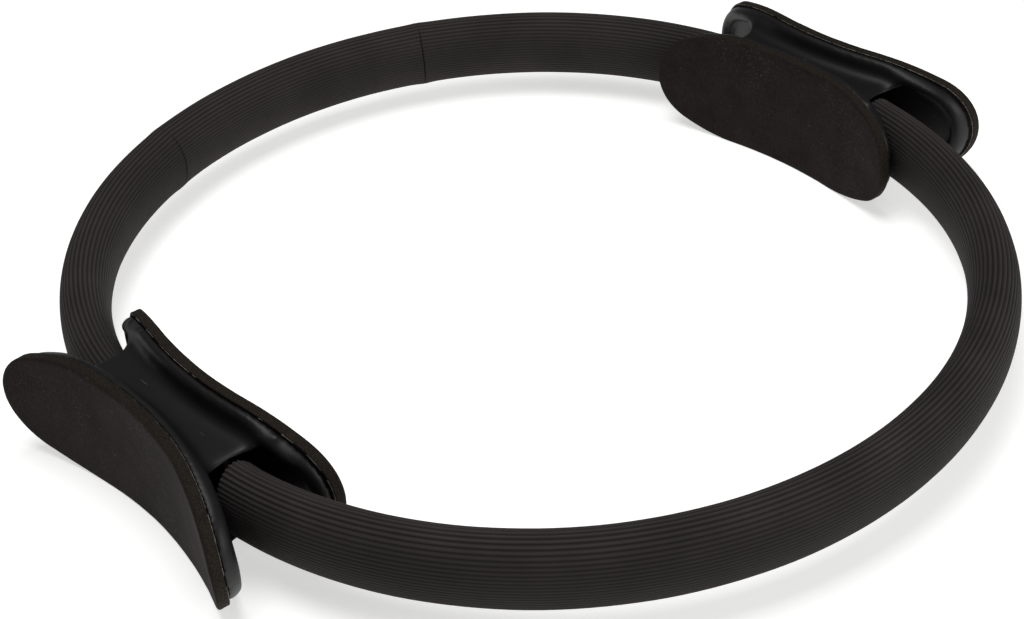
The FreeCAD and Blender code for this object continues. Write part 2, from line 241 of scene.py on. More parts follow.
def extruded_foam():
    material, tree, shader, place = finish_of(
        "extruded_nitrile_foam", Roughness=0.65, Specular_IOR_Level=0.08, IOR=1.45)

    # wear and painted shade: hands rub patches about as wide as a thumb paler, and the mesh's
    # attribute paints shade into the grooves and onto the sides
    painted_rib_shading = add(tree, "ShaderNodeAttribute", attribute_name="painted_rib_shading").outputs["Fac"]
    cloud = add(tree, "ShaderNodeTexNoise", {"Vector": place, "Scale": per_mm(26), "Detail": 4.0})
    wear_and_shade = add(tree, MATH, (cloud, 0.6, 0.5), operation="MULTIPLY_ADD")
    wear_and_shade = add(tree, MATH, (wear_and_shade, painted_rib_shading), operation="MULTIPLY")
    tone = add(tree, "ShaderNodeValToRGB", {"Fac": wear_and_shade})
    tone.color_ramp.elements[0].color = colour("#050505")
    tone.color_ramp.elements[0].position = 0.05
    tone.color_ramp.elements[1].color = colour("#403c3b")
    tone.color_ramp.elements[1].position = 0.85

    # dust: single specks, drawn at 0.8 mm because real ones are too fine to show
    dust = add(tree, "ShaderNodeTexNoise", {"Vector": place, "Scale": per_mm(0.8), "Detail": 1.0})
    speck = add(tree, "ShaderNodeMapRange", {
        "Value": dust, "From Min": 0.81, "From Max": 0.84, "To Max": 0.3})
    dusty = add(tree, "ShaderNodeMix", {0: speck, 6: tone, 7: colour("#7d7974")}, data_type="RGBA")
    tree.links.new(dusty.outputs[2], shader.inputs["Base Color"])

    # cells: about 0.2 mm wide on the real skin, drawn at 0.5 mm so that they show
    cells = add(tree, "ShaderNodeTexNoise", {"Vector": place, "Scale": per_mm(0.5), "Detail": 3.0})
    bump = add(tree, "ShaderNodeBump", {"Strength": 0.18, "Distance": 0.1 * MM, "Height": cells})
    tree.links.new(bump.outputs["Normal"], shader.inputs["Normal"])
    return material


sleeve_foam = extruded_foam()
print("made", sleeve_foam.name)

# %% [markdown]
# ## Foam sleeve: the hoop's arcs
# The hoop's centre line is two arcs. Their radius and centres follow from the frame:
# the pivots in a handle's mouth and at the bend both lie on the arc, and its centre
# lies on the ring's middle line.

# %% The hoop's arcs
mouth_pivot, bend_pivot = pivots["squeeze"], pivots["front_left_flex"]
arc_centre_y = (mouth_pivot.xy.length_squared - bend_pivot.xy.length_squared) / (
    2 * (mouth_pivot.y - bend_pivot.y))
arc_radius = math.hypot(mouth_pivot.x, mouth_pivot.y - arc_centre_y)
sleeve_low, sleeve_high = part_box("front_middle_sleeve")
sleeve_half_height = (sleeve_high.z - sleeve_low.z) / 2
sleeve_half_width = arc_centre_y - arc_radius - sleeve_low.y
mid_height = (sleeve_high.z + sleeve_low.z) / 2
mouth_angle = math.degrees(math.acos(-mouth_pivot.x / arc_radius))


def arc_point(half, angle):
    """A point on the front or back half hoop's centre line, by its angle round the arc in degrees."""
    turn = math.radians(angle)
    centre_y = -arc_centre_y if half == "back" else arc_centre_y
    return Vector((arc_radius * math.cos(turn), centre_y + arc_radius * math.sin(turn), mid_height))


print("arc radius %.1f mm, sleeve %.1f by %.1f mm" % (
    arc_radius / MM, 2 * sleeve_half_width / MM, 2 * sleeve_half_height / MM))

# %% [markdown]
# ## Foam sleeve: the shape
# The sleeve could be a plain tube with a bump map, but its ribs show on the outline,
# so they are modelled. One Geometry Nodes tree sweeps a ribbed oval along the arc. Its
# sizes are named inputs, so that one tree makes every length. These helpers start a
# tree, carry values from a curve to the swept mesh, and run a tree.

# %% Helpers for Geometry Nodes


def sized_tree(name, sizes):
    """A Geometry Nodes tree with one named input for each size, and a geometry output."""
    tree = bpy.data.node_groups.new(name, "GeometryNodeTree")
    for size, kind in sizes.items():
        tree.interface.new_socket(size, in_out="INPUT", socket_type="NodeSocket" + kind)
    tree.interface.new_socket("Geometry", in_out="OUTPUT", socket_type="NodeSocketGeometry")
    return tree, tree.nodes.new("NodeGroupInput").outputs, tree.nodes.new("NodeGroupOutput").inputs


def keep_values(tree, curve, values):
    """Capture nodes' values on a curve's points, so that they can be read after the sweep."""
    capture = tree.nodes.new("GeometryNodeCaptureAttribute")
    for name, (kind, value) in values.items():
        capture.capture_items.new(kind, name)
        tree.links.new(value.outputs[0], capture.inputs[name])
    tree.links.new(curve.outputs[0], capture.inputs["Geometry"])
    return capture.outputs


def applied(piece):
    """Run a piece's modifiers, and keep what they make as its plain mesh."""
    graph = bpy.context.evaluated_depsgraph_get()
    made = bpy.data.meshes.new_from_object(
        piece.evaluated_get(graph), preserve_all_data_layers=True, depsgraph=graph)
    piece.modifiers.clear()
    piece.data = made
    made.name = piece.name
    return piece


def grown(name, tree, values, mesh=None):
    """A piece that a tree makes with these inputs, from a mesh or from nothing."""
    piece = bpy.data.objects.new(name, mesh or bpy.data.meshes.new(name))
    scene.collection.objects.link(piece)
    modifier = piece.modifiers.new(name, "NODES")
    modifier.node_group = tree
    for item in tree.interface.items_tree:
        if item.in_out == "INPUT" and item.name in values:
            modifier[item.identifier] = values[item.name]
    return applied(piece)


# %% [markdown]
# ### The path
# The path is a line of points that are moved onto the arc. They are crowded towards its
# ends, because a cut end needs close points to be rounded. Each point keeps how far it
# is from both ends, and where the centre line is.

# %% The sleeve's path
PATH_POINTS = 96
END_CROWDING_SHARE = 0.97


def sleeve_path(tree, sizes):
    line = add(tree, "GeometryNodeCurvePrimitiveLine")
    line = add(tree, "GeometryNodeResampleCurve", {"Curve": line, "Count": PATH_POINTS})
    index = tree.nodes.new("GeometryNodeInputIndex")
    step = add(tree, MATH, (index, PATH_POINTS - 1), operation="DIVIDE")
    wave = add(tree, MATH, (step, math.tau), operation="MULTIPLY")
    wave = add(tree, MATH, (wave,), operation="SINE")
    share = add(tree, MATH, (wave, -END_CROWDING_SHARE / math.tau, step), operation="MULTIPLY_ADD")
    angle = add(tree, "ShaderNodeMapRange", {
        "Value": share, "To Min": sizes["Start Angle"], "To Max": sizes["Stop Angle"]})
    east = add(tree, MATH, (angle,), operation="COSINE")
    north = add(tree, MATH, (angle,), operation="SINE")
    spoke = add(tree, "ShaderNodeCombineXYZ", (east, north))
    arm = add(tree, VECTOR_MATH, {0: spoke, "Scale": sizes["Arc Radius"]}, operation="SCALE")
    place = add(tree, VECTOR_MATH, (arm, sizes["Centre"]), operation="ADD")
    path = add(tree, "GeometryNodeSetPosition", {"Geometry": line, "Position": place})
    path = add(tree, "GeometryNodeSetCurveNormal", {"Curve": path}, mode="Z_UP")
    swept = add(tree, MATH, (sizes["Stop Angle"], sizes["Start Angle"]), operation="SUBTRACT")
    whole = add(tree, MATH, (swept, sizes["Arc Radius"]), operation="MULTIPLY")
    run = add(tree, MATH, (share, whole), operation="MULTIPLY")
    rest = add(tree, MATH, (whole, run), operation="SUBTRACT")
    return keep_values(tree, path, {
        "Run": ("FLOAT", run), "Rest": ("FLOAT", rest), "Spine": ("VECTOR", place)})


# %% [markdown]
# ### The section
# The section is an oval with ribs. They are broad and deep along the top and bottom, and
# fine and shallow on the flat sides, as the die cuts them. Points placed by angle would
# crowd at the oval's tips, so they are placed by length along it. Each keeps how far
# across the oval it lies, from -1 on the inside of the ring to 1 on its outside, and how
# much painted shade darkens it: in the grooves, and on the sides more than on the top.

# %% The sleeve's section
RIBS = 48
POINTS_PER_RIB = 7
OVAL_POINTS = 360
TOP_SPREAD_SHARE = 0.17
RIB_DEPTH_SHARE = 0.3
GROOVE_SHARPNESS = 1.5
SIDE_FADE_SHARE = 0.65
# painted shade: how much darker the grooves and the sides are painted
GROOVE_SHADE = 0.55
SIDE_SHADE = 0.42


def sleeve_section(tree, sizes):
    oval = add(tree, "GeometryNodeCurvePrimitiveCircle", {"Resolution": OVAL_POINTS, "Radius": 1.0})
    stretch = add(tree, "ShaderNodeCombineXYZ", (sizes["Half Width"], sizes["Half Height"], 1.0))
    oval = add(tree, "GeometryNodeTransform", {"Geometry": oval.outputs["Curve"], "Scale": stretch})

    # spacing: two waves a turn lean the points towards the sides, which spreads the top
    count = RIBS * POINTS_PER_RIB
    index = tree.nodes.new("GeometryNodeInputIndex")
    turn = add(tree, MATH, (index, count), operation="DIVIDE")
    swing = add(tree, MATH, (turn, 2 * math.tau), operation="MULTIPLY")
    sine = add(tree, MATH, (swing,), operation="SINE")
    cosine = add(tree, MATH, (swing,), operation="COSINE")
    lean = add(tree, MATH, (sine, -TOP_SPREAD_SHARE / (2 * math.tau), turn), operation="MULTIPLY_ADD")
    spacing = add(tree, MATH, (cosine, -TOP_SPREAD_SHARE, 1.0), operation="MULTIPLY_ADD")
    spot = add(tree, "GeometryNodeSampleCurve", {"Curves": oval, "Factor": lean}, mode="FACTOR",
               use_all_curves=True)

    # grooves: a raised cosine, deep where the ribs are broad and shallow on the sides
    phase = add(tree, MATH, (turn, RIBS * math.tau), operation="MULTIPLY")
    phase = add(tree, MATH, (phase,), operation="COSINE")
    groove = add(tree, MATH, (phase, 0.5, 0.5), operation="MULTIPLY_ADD")
    groove = add(tree, MATH, (groove, GROOVE_SHARPNESS), operation="POWER")
    across = add(tree, "ShaderNodeSeparateXYZ", (spot.outputs["Position"],))
    across = add(tree, MATH, (across.outputs["X"], sizes["Half Width"]), operation="DIVIDE")
    flatness = add(tree, MATH, (across, across), operation="MULTIPLY")
    strength = add(tree, MATH, (flatness, -SIDE_FADE_SHARE, 1.0), operation="MULTIPLY_ADD")
    length = add(tree, "GeometryNodeCurveLength", (oval,))
    depth = add(tree, MATH, (length, -RIB_DEPTH_SHARE / RIBS), operation="MULTIPLY")
    for factor in (spacing, groove, strength):
        depth = add(tree, MATH, (depth, factor), operation="MULTIPLY")
    outward = add(tree, VECTOR_MATH, (spot.outputs["Tangent"], (0, 0, 1)), operation="CROSS_PRODUCT")
    shift = add(tree, VECTOR_MATH, {0: outward, "Scale": depth}, operation="SCALE")
    ring = add(tree, "GeometryNodeCurvePrimitiveCircle", {"Resolution": count, "Radius": 1.0})
    ring = add(tree, "GeometryNodeSetPosition", {
        "Geometry": ring.outputs["Curve"], "Position": spot.outputs["Position"], "Offset": shift})

    # painted shade: the grooves are painted darker than the crests, and the sides darker than the top
    painted_rib_shading = add(tree, MATH, (groove, strength), operation="MULTIPLY")
    painted_rib_shading = add(tree, MATH, (painted_rib_shading, -GROOVE_SHADE, 1.0), operation="MULTIPLY_ADD")
    painted_rib_shading = add(tree, MATH, (flatness, -SIDE_SHADE, painted_rib_shading), operation="MULTIPLY_ADD")
    return keep_values(tree, ring, {"Crest": ("FLOAT", painted_rib_shading), "Across": ("FLOAT", across)})


# %% [markdown]
# ### The skin and its ends
# The tree sweeps the section along the path and then pushes the skin in or out. Foam is
# never quite even, so a slow noise makes it wavy. Where two lengths butt together, their
# cut ends are rounded, gape towards the inside of the ring and swell a little.

# %% The sleeve's tree
WAVE_LENGTH_MM = 34
GAPE_ACROSS = (-0.3, -0.9)
GAPE_SHARES = (0.3, 2.0)


def sleeve_tree():
    tree, sizes, out = sized_tree("ribbed_sleeve", {
        "Centre": "Vector", "Arc Radius": "Float", "Start Angle": "Float", "Stop Angle": "Float",
        "Half Width": "Float", "Half Height": "Float",
        "Start Rounding": "Float", "Stop Rounding": "Float",
        "End Swell": "Float", "Swell Length": "Float", "Waviness": "Float", "Material": "Material",
    })
    path, ring = sleeve_path(tree, sizes), sleeve_section(tree, sizes)
    skin = add(tree, "GeometryNodeCurveToMesh", {
        "Curve": path["Geometry"], "Profile Curve": ring["Geometry"], "Fill Caps": True})
    change = add(tree, "ShaderNodeTexNoise", {"Scale": per_mm(WAVE_LENGTH_MM), "Detail": 2.0})
    change = add(tree, MATH, (change, 0.5), operation="SUBTRACT")
    change = add(tree, MATH, (change, sizes["Waviness"]), operation="MULTIPLY")
    inward = add(tree, "ShaderNodeMapRange", {"Value": ring["Across"], "From Min": 1.0, "From Max": 0.0})
    gape = add(tree, "ShaderNodeMapRange", {
        "Value": ring["Across"], "From Min": GAPE_ACROSS[0], "From Max": GAPE_ACROSS[1],
        "To Min": GAPE_SHARES[0], "To Max": GAPE_SHARES[1]})
    for end, distance in (("Start", path["Run"]), ("Stop", path["Rest"])):
        # a quarter circle: the root of one less the square of the share of the way to the end
        rounding = sizes[end + " Rounding"]
        near = add(tree, MATH, (distance, rounding), operation="DIVIDE")
        near = add(tree, MATH, (1.0, near), operation="SUBTRACT", use_clamp=True)
        drop = add(tree, MATH, (near, near), operation="MULTIPLY")
        drop = add(tree, MATH, (1.0, drop), operation="SUBTRACT")
        drop = add(tree, MATH, (drop,), operation="SQRT")
        drop = add(tree, MATH, (drop, 1.0), operation="SUBTRACT")
        drop = add(tree, MATH, (drop, gape), operation="MULTIPLY")
        change = add(tree, MATH, (drop, rounding, change), operation="MULTIPLY_ADD")

        # a swell that fades with the square of the distance, at cut ends only
        cut_end = add(tree, MATH, (rounding, 0.0), operation="GREATER_THAN")
        close = add(tree, MATH, (distance, sizes["Swell Length"]), operation="DIVIDE")
        close = add(tree, MATH, (1.0, close), operation="SUBTRACT", use_clamp=True)
        close = add(tree, MATH, (close, 2.0), operation="POWER")
        swell = add(tree, MATH, (close, cut_end), operation="MULTIPLY")
        swell = add(tree, MATH, (swell, inward), operation="MULTIPLY")
        change = add(tree, MATH, (swell, sizes["End Swell"], change), operation="MULTIPLY_ADD")
    spot = tree.nodes.new("GeometryNodeInputPosition")
    away = add(tree, VECTOR_MATH, (spot, path["Spine"]), operation="SUBTRACT")
    away = add(tree, VECTOR_MATH, (away,), operation="NORMALIZE")
    push = add(tree, VECTOR_MATH, {0: away, "Scale": change}, operation="SCALE")
    skin = add(tree, "GeometryNodeSetPosition", {"Geometry": skin, "Offset": push})
    # the painted shade of the grooves and sides is stored on the skin for its finish
    skin = add(tree, "GeometryNodeStoreNamedAttribute", {
        "Geometry": skin, "Name": "painted_rib_shading", "Value": ring["Crest"]}, data_type="FLOAT", domain="POINT")
    skin = add(tree, "GeometryNodeSetShadeSmooth", {"Geometry": skin})
    skin = add(tree, "GeometryNodeRealizeInstances", (skin,))
    skin = add(tree, "GeometryNodeSetMaterial", {"Geometry": skin, "Material": sizes["Material"]})
    tree.links.new(skin.outputs[0], out["Geometry"])
    return tree


ribbed_sleeve = sleeve_tree()
print(ribbed_sleeve.name, "has", len(ribbed_sleeve.nodes), "nodes")

# %% [markdown]
# ## Foam sleeve: the lengths
# The front sleeve is one length and the back one is three, which butt together left
# and right of its middle. A piece can bend across one hinge only, so each is parted at
# the top of the arc too, where the cut doesn't show: both sides follow the same link.

# %% The lengths of sleeve
SEAM_RIGHT_ANGLE = 62.7
SEAM_LEFT_ANGLE = 112.0
TOP_ANGLE = 90.0
MOUTH_GAP = 6.6 * MM
MOUTH_ROUND = 1.6 * MM
SEAM_ROUND = 0.75 * MM
JOINED = 0.0
SEAM_SWELL = 0.45 * MM
SWELL_LENGTH = 9.0 * MM
SLEEVE_WAVINESS = 0.3 * MM
CAP_CREASE = math.radians(70)

end_angle = mouth_angle + math.degrees(MOUTH_GAP / arc_radius)
LENGTHS = {
    # name: (half, side link, from and to angle, rounding at both ends, links whose solids it stands for)
    "back_right_foam":
        ("back", "right", (end_angle, SEAM_RIGHT_ANGLE), (MOUTH_ROUND, SEAM_ROUND), ("right",)),
    "back_middle_right_foam":
        ("back", "right", (SEAM_RIGHT_ANGLE, TOP_ANGLE), (SEAM_ROUND, JOINED), ("middle",)),
    "back_middle_left_foam":
        ("back", "left", (TOP_ANGLE, SEAM_LEFT_ANGLE), (JOINED, SEAM_ROUND), ("middle",)),
    "back_left_foam":
        ("back", "left", (SEAM_LEFT_ANGLE, 180 - end_angle), (SEAM_ROUND, MOUTH_ROUND), ("left",)),
    "front_left_foam":
        ("front", "left", (180 + end_angle, 180 + TOP_ANGLE), (MOUTH_ROUND, JOINED), ("left", "middle")),
    "front_right_foam":
        ("front", "right", (180 + TOP_ANGLE, 360 - end_angle), (JOINED, MOUTH_ROUND), ("right", "middle")),
}
for name, (half, side, (start, stop), (start_round, stop_round), links) in LENGTHS.items():
    centre = arc_point(half, 0) - Vector((arc_radius, 0, 0))
    piece = grown(name, ribbed_sleeve, {
        "Centre": centre, "Arc Radius": arc_radius,
        "Start Angle": math.radians(start), "Stop Angle": math.radians(stop),
        "Half Width": sleeve_half_width, "Half Height": sleeve_half_height,
        "Start Rounding": start_round, "Stop Rounding": stop_round,
        "End Swell": SEAM_SWELL, "Swell Length": SWELL_LENGTH, "Waviness": SLEEVE_WAVINESS,
        "Material": sleeve_foam,
    })
    piece.data.set_sharp_from_angle(angle=CAP_CREASE)
    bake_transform(piece)
    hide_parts(*["%s_%s_sleeve" % (half, link) for link in links])
    print(name, len(piece.data.polygons), "faces")

# %% [markdown]
# ## Foam pads: the finish
# The pads are die-cut from EVA foam sheet: warm black, dead matt, with a fine pebbled
# skin that holds dust and small scuffs. A die leaves the cut edges raw, so the open
# cells show there as an olive-brown speckle. The mesh says where, in "cut".

# %% EVA sheet


def eva_sheet():
    material, tree, shader, place = finish_of(
        "eva_foam_sheet", Roughness=0.85, Specular_IOR_Level=0.14, IOR=1.45)
    cut = add(tree, "ShaderNodeAttribute", attribute_name="cut").outputs["Fac"]

    # skin: warm black that is a little uneven over a finger's width
    cloud = add(tree, "ShaderNodeTexNoise", {"Vector": place, "Scale": per_mm(14), "Detail": 5.0})
    face = add(tree, "ShaderNodeValToRGB", {"Fac": cloud})
    face.color_ramp.elements[0].color = colour("#191412")
    face.color_ramp.elements[0].position = 0.3
    face.color_ramp.elements[1].color = colour("#231d1b")
    face.color_ramp.elements[1].position = 0.7

    # mottle: the pebbled skin reflects unevenly
    mottle = add(tree, "ShaderNodeTexNoise", {
        "Vector": place, "Scale": per_mm(1.1), "Detail": 3.0, "Roughness": 0.7})
    mottle = add(tree, "ShaderNodeMapRange", {
        "Value": mottle, "From Min": 0.3, "From Max": 0.7, "To Min": 0.62, "To Max": 1.4})
    face = add(tree, "ShaderNodeMix", {0: 1.0, 6: face, 7: mottle},
               data_type="RGBA", blend_type="MULTIPLY")

    # dust: specks drawn coarse enough to show, thick in some places and almost gone in others
    patch = add(tree, "ShaderNodeTexNoise", {"Vector": place, "Scale": per_mm(30), "Detail": 2.0})
    patch = add(tree, "ShaderNodeMapRange", {"Value": patch, "From Min": 0.42, "From Max": 0.7})
    grains = add(tree, "ShaderNodeTexNoise", {"Vector": place, "Scale": per_mm(0.75), "Detail": 2.0})
    grains = add(tree, "ShaderNodeMapRange", {"Value": grains, "From Min": 0.6, "From Max": 0.8})
    dust = add(tree, MATH, (grains, patch), operation="MULTIPLY")

    # scuffs: short pale strokes, from noise that is drawn out along one direction
    drawn = add(tree, "ShaderNodeMapping", {
        "Vector": place, "Rotation": (0.5, 0.3, 0.9), "Scale": (1.0, 0.09, 1.0)})
    scuff = add(tree, "ShaderNodeTexNoise", {"Vector": drawn, "Scale": per_mm(0.7), "Detail": 1.0})
    scuff = add(tree, "ShaderNodeMapRange", {"Value": scuff, "From Min": 0.77, "From Max": 0.82})
    marks = add(tree, MATH, (dust, scuff), operation="MAXIMUM")
    marks = add(tree, MATH, (marks, 0.2), operation="MULTIPLY")
    marked = add(tree, "ShaderNodeMix", {0: marks, 6: face.outputs[2], 7: colour("#a39d94")},
                 data_type="RGBA")

    # cut edge: open cells, about 0.3 mm wide on real sheet and drawn at 0.5 mm so that they show
    cells = add(tree, "ShaderNodeTexVoronoi", {"Vector": place, "Scale": per_mm(0.5)}, feature="F1")
    edge = add(tree, "ShaderNodeValToRGB", {"Fac": cells.outputs["Distance"]})
    edge.color_ramp.elements[0].color = colour("#363029")
    edge.color_ramp.elements[1].color = colour("#1d1a16")
    edge.color_ramp.elements[1].position = 0.7
    tone = add(tree, "ShaderNodeMix", {0: cut, 6: marked.outputs[2], 7: edge}, data_type="RGBA")
    tree.links.new(tone.outputs[2], shader.inputs["Base Color"])

    # relief: fine pebbles on the skin, and the open cells where it is cut
    pebble = add(tree, "ShaderNodeTexNoise", {"Vector": place, "Scale": per_mm(0.7), "Detail": 4.0})
    bump = add(tree, "ShaderNodeBump", {"Strength": 0.3, "Distance": 0.12 * MM, "Height": pebble})
    rough = add(tree, "ShaderNodeBump", {
        "Strength": cut, "Distance": 0.15 * MM, "Height": cells.outputs["Distance"], "Normal": bump})
    tree.links.new(rough.outputs["Normal"], shader.inputs["Normal"])
    return material


eva_foam = eva_sheet()
print("made", eva_foam.name)

# %% [markdown]
# ## Foam pads: the outline
# Each pad is a flat sheet that is bent to a hollow cylinder and glued on. Its outline is
# drawn flat, from arcs and straight lines, and then bent. How long and high it is, and
# how far it is bent, follow from its solid's box.

# %% Where the pads lie
PAD_THICKNESS = 4.2 * MM
PADS = [side + face for side in ("left", "right") for face in ("_outer_pad", "_inner_pad")]
PadFrame = namedtuple("PadFrame", "half_length half_height middle radius axis outward")


def pad_frame(node):
    """A pad's half sizes and mid height, its face's radius and axis along X, and which way it faces."""
    low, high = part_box(node)
    half_length, half_height = (high.y - low.y) / 2, (high.z - low.z) / 2
    hoop_x = math.copysign(arc_radius, low.x)
    back_x, tip_x = sorted((low.x, high.x), key=lambda x: abs(x - hoop_x))
    outward = math.copysign(1, tip_x - back_x)
    face_x = back_x + outward * PAD_THICKNESS
    sagitta = abs(tip_x - face_x)
    radius = (half_length ** 2 + sagitta ** 2) / (2 * sagitta)
    middle, axis = (low.z + high.z) / 2, face_x + outward * radius
    return PadFrame(half_length, half_height, middle, radius, axis, outward)


def bent(pad, flat_points, depths):
    """Flat points of a pad, each some depth below its face, bent to where it stands on the table."""
    lies = pad_frame(pad)
    y, z = flat_points[:, 0], flat_points[:, 1]
    x = lies.axis - lies.outward * np.sqrt((lies.radius + depths) ** 2 - y ** 2)
    return np.stack([x, y, np.maximum(z + lies.middle, cad_low.z)], 1)


for pad in PADS:
    print(pad, "is bent to a radius of %.0f mm" % (pad_frame(pad).radius / MM))

# %% The pads' outline
PAD_FLAT_HALF = 26.0 * MM
PAD_END_RADIUS = 21.0 * MM
OUTLINE_STEP = 0.8 * MM


def arc_run(centre, radius, start, stop):
    """Points along an arc about a step apart, without the last one."""
    count = max(2, round(abs(stop - start) * radius / OUTLINE_STEP))
    turns = np.linspace(start, stop, count, endpoint=False)
    return np.array(centre) + radius * np.stack([np.cos(turns), np.sin(turns)], 1)


def pad_outline(pad):
    """Points round a pad's outline in (Y, Z), from one tip: round ends, wide shoulders and flats."""
    half_length, half_height, *_ = pad_frame(pad)
    end_y = half_length - PAD_END_RADIUS
    run = end_y - PAD_FLAT_HALF
    shoulder = (run ** 2 + half_height ** 2 - PAD_END_RADIUS ** 2) / (2 * (half_height - PAD_END_RADIUS))
    meet = math.atan2(shoulder - half_height, run)
    flat = np.arange(PAD_FLAT_HALF, 0, -OUTLINE_STEP)
    quarter = np.concatenate([
        arc_run((end_y, 0), PAD_END_RADIUS, 0, meet),
        arc_run((PAD_FLAT_HALF, half_height - shoulder), shoulder, meet, math.pi / 2),
        np.stack([flat, np.full_like(flat, half_height)], 1),
        [(0.0, half_height)],
    ])
    upper = np.concatenate([quarter, quarter[-2::-1] * (-1, 1)])
    return np.concatenate([upper, upper[-2:0:-1] * (1, -1)])


def inset_outline(pad, insets):
    """A pad's outline drawn in towards its spine, by one distance, or by one for each of its points."""
    half_length, half_height, *_ = pad_frame(pad)
    outline = pad_outline(pad)
    spine_half = half_length - half_height
    spine = np.stack([np.clip(outline[:, 0], -spine_half, spine_half), np.zeros(len(outline))], 1)
    shares = np.broadcast_to(np.minimum(insets / half_height, 1.0), len(outline))
    return outline + (spine - outline) * shares[:, None]


for pad in PADS:
    print(pad, "has an outline of", len(pad_outline(pad)), "points")

# %% [markdown]
# ## Foam pads: the shape
# A pad could be its solid with the edges rounded, but a cut edge isn't a neat fillet:
# the die presses the foam, so the edge comes out a little waisted and wavy. The mesh is
# rings of the pad's outline, from the middle of the back, round the edge, to the middle
# of the face. Smooth noise moves the rings near the edge, and lifts or sinks the face.

# %% Rings and noise for the pads
# each ring: how far it lies inside the outline, and how deep below the face, in mm
BACK_RINGS = [(16.0, 4.2), (8.0, 4.2), (3.0, 4.2), (0.6, 4.2), (0.08, 4.18)]
EDGE_RINGS = [(0.0, 3.9), (0.06, 3.3), (0.1, 2.6), (0.1, 1.9), (0.1, 1.35)]
ROUND_RINGS = [(0.16, 0.95), (0.3, 0.6), (0.55, 0.3), (0.9, 0.1), (1.3, 0.02)]
FACE_RINGS = [(inset, 0.0) for inset in (2.0, 3.0, 4.6, 6.6, 9.0, 12.0, 15.0, 18.0, 21.0)]
# each wave: its length, its share and its seed
EDGE_WAVES = ((9.0 * MM, 0.6, 0), (1.6 * MM, 0.4, 0))
FACE_WAVES = ((22.0 * MM, 1.0, 7), (5.0 * MM, 0.25, 9))


def wander(points, waves, salt):
    """A smooth random value for each point, which changes over the waves' lengths."""
    return sum(share * np.array([noise.noise(Vector((y / size, z / size, salt + seed))) for y, z in points])
               for size, share, seed in waves)


def ring_faces(rings, count, closed=False):
    """Quads between rings of points, and from the last ring to the first if they close."""
    return [(r * count + i, r * count + (i + 1) % count,
             (r + 1) % rings * count + (i + 1) % count, (r + 1) % rings * count + i)
            for r in range(rings if closed else rings - 1) for i in range(count)]


print(sum(map(len, (BACK_RINGS, EDGE_RINGS, ROUND_RINGS, FACE_RINGS))), "rings round each pad")

# %% The pads
RAW_DEPTH_MM = 1.1
EDGE_REACH_MM = 3.0
FACE_REACH_MM = 0.6
EDGE_SPREAD = 0.5 * MM
EDGE_WANDER = 0.16 * MM
FACE_WANDER = 0.22 * MM
RING_WELD = 0.02 * MM
PAD_SALT = 11.0


def pad_piece(node):
    salt = PAD_SALT * PADS.index(node)
    half_height, thick = pad_frame(node).half_height / MM, PAD_THICKNESS / MM
    outline = pad_outline(node)
    ragged = EDGE_WANDER * wander(outline, EDGE_WAVES, salt) - EDGE_SPREAD
    rings, cuts = [], []
    for inset, depth in [(half_height, thick), *BACK_RINGS, *EDGE_RINGS, *ROUND_RINGS, *FACE_RINGS,
                         (half_height, 0.0)]:
        near_edge = max(0.0, 1 - inset / EDGE_REACH_MM)
        on_face = max(0.0, 1 - depth / FACE_REACH_MM)
        flat_points = inset_outline(node, inset * MM + near_edge * ragged)
        waves = FACE_WANDER * wander(flat_points, FACE_WAVES, salt)
        rings.append(bent(node, flat_points, depth * MM + on_face * waves))
        cuts += [min(1.0, depth / RAW_DEPTH_MM) if depth < thick else 0.0] * len(outline)
    mesh = bpy.data.meshes.new(node + "_foam")
    mesh.from_pydata(np.concatenate(rings).tolist(), [], ring_faces(len(rings), len(outline)))
    mesh.attributes.new("cut", "FLOAT", "POINT").data.foreach_set("value", cuts)
    shape = bmesh.new()
    shape.from_mesh(mesh)
    bmesh.ops.remove_doubles(shape, verts=shape.verts, dist=RING_WELD)
    bmesh.ops.recalc_face_normals(shape, faces=shape.faces)
    shape.to_mesh(mesh)
    shape.free()
    mesh.shade_smooth()
    mesh.materials.append(eva_foam)
    piece = bpy.data.objects.new(node + "_foam", mesh)
    scene.collection.objects.link(piece)
    return piece


for node in PADS:
    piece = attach(pad_piece(node), node.split("_")[0] + "_handle")
    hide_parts(node)
    print(piece.name, len(piece.data.polygons), "faces")

# %% [markdown]
# ## Glue lines
# Contact adhesive squeezes out where foam meets plastic, and dries to a thin pale line
# that breaks off in places. It could be painted on, but it stands proud and catches the
# light, so a Geometry Nodes tree runs a bead along each pad's back edge: one noise
# deletes parts of the edge, and another makes the bead thick and thin.

# %% Dried glue


def dried_glue():
    material, tree, shader, place = finish_of(
        "dried_contact_glue", Roughness=0.55, Specular_IOR_Level=0.3, IOR=1.47)
    dirt = add(tree, "ShaderNodeTexNoise", {"Vector": place, "Scale": per_mm(1.2), "Detail": 3.0})
    tone = add(tree, "ShaderNodeValToRGB", {"Fac": dirt})
    tone.color_ramp.elements[0].color = colour("#36332f")
    tone.color_ramp.elements[0].position = 0.35
    tone.color_ramp.elements[1].color = colour("#858078")
    tone.color_ramp.elements[1].position = 0.65
    tree.links.new(tone.outputs["Color"], shader.inputs["Base Color"])
    return material


contact_glue = dried_glue()
print("made", contact_glue.name)

# %% The glue's tree
GLUE_STRETCH_MM = 9.0
GLUE_LUMP_MM = 2.2
GLUE_THINNEST_SHARE = 0.2
GLUE_LUMP_SHARE = 1.6
GLUE_SIDES = 6


